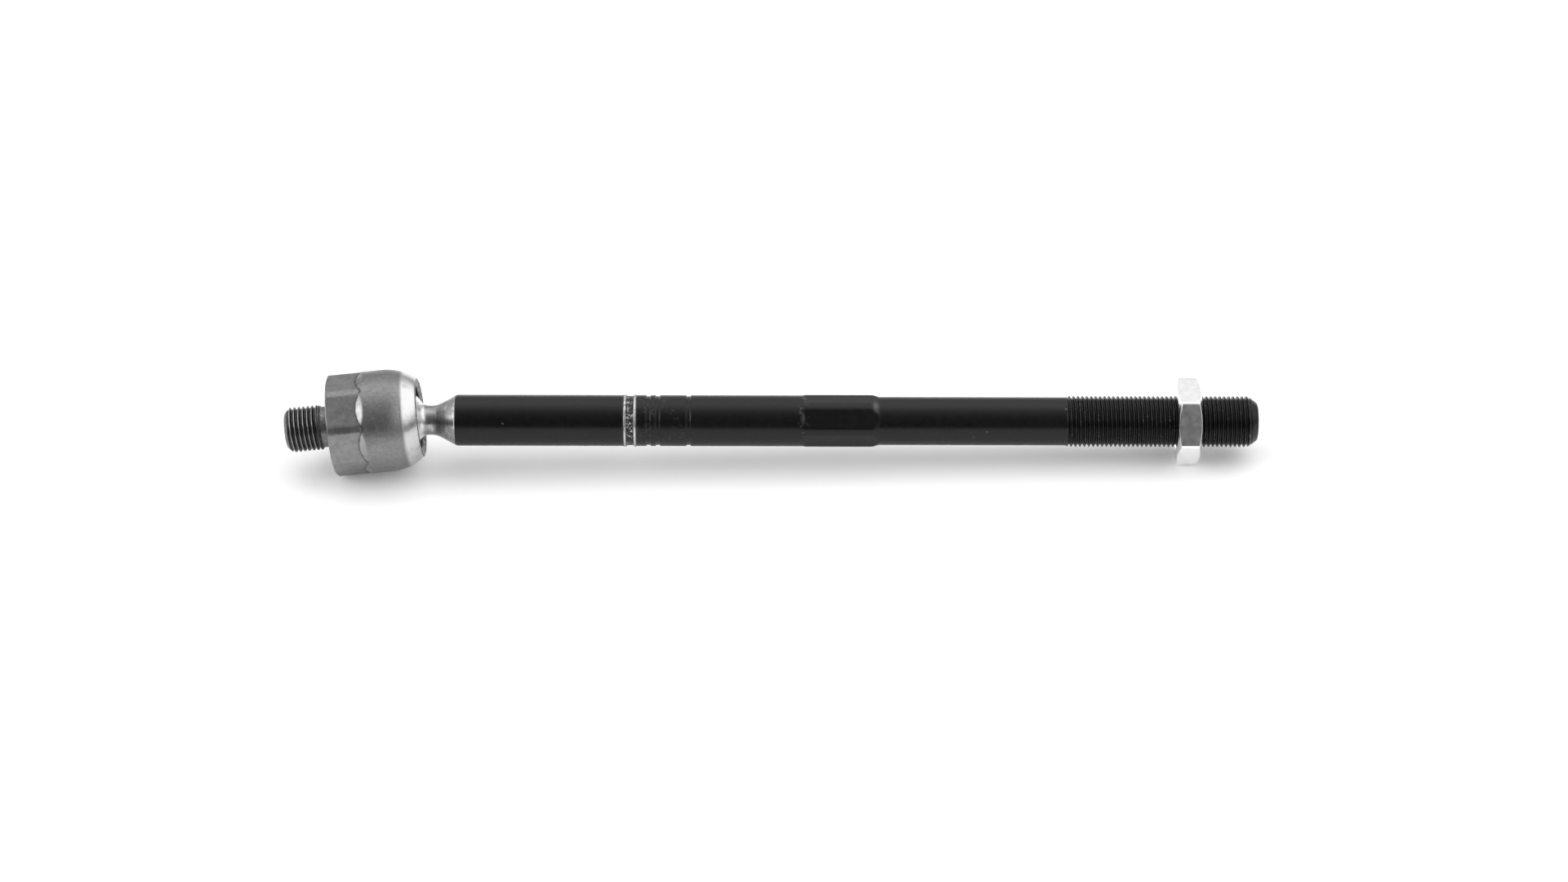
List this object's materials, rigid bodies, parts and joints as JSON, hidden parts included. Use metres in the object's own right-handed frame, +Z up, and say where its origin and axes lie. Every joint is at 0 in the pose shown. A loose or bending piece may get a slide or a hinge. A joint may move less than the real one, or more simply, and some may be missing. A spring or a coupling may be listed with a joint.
{
  "type": "inner tie rod",
  "caption": "Steering inner tie rod: ball socket with a threaded rack stud, coated rod with a spanner grip, and a jam nut on its outer thread.",
  "frame": {"origin": "on the surface it lies on, under the middle of the part", "axes": "+X along the rod towards its outer end, +Z up from the surface it lies on, +Y away from a viewer who has the socket on the left"},
  "size_m": [0.3428, 0.0363, 0.0369],
  "materials": {
    "socket_housing": "forged and blasted steel, dull, with a polished rolled rim",
    "bearing_ring": "moulded bearing plastic",
    "ball_seat": "moulded bearing plastic",
    "tie_rod": "satin black coat, with the neck and cone in bare turned steel",
    "jam_nut": "bright zinc plate"
  },
  "bodies": {
    "socket": {"socket_housing": "socket_housing"},
    "bearing": {"bearing_ring": "bearing_ring"},
    "seat": {"ball_seat": "ball_seat"},
    "rod": {"tie_rod": "tie_rod"},
    "nut": {"jam_nut": "jam_nut"}
  },
  "joints": [
    {"name": "swing_direction", "type": "hinge", "parent": "socket", "child": "bearing", "pos_m": [-0.13346, 0, 0.01898], "axis": [0.9964, 0.0435, 0.0732], "continuous": true},
    {"name": "rod_swing", "type": "hinge", "parent": "bearing", "child": "seat", "pos_m": [-0.13346, 0, 0.01898], "axis": [-0.0082, 0.9048, -0.4257], "range_deg": [-33.8, 22.1]},
    {"name": "rod_spin", "type": "hinge", "parent": "seat", "child": "rod", "pos_m": [-0.13346, 0, 0.01898], "axis": [0.9998, 0, -0.0193], "continuous": true},
    {"name": "jam_nut_travel", "type": "slide", "parent": "rod", "child": "nut", "axis": [0.9998, 0, -0.0193], "range_m": [-0.0375, 0.0203]}
  ]
}
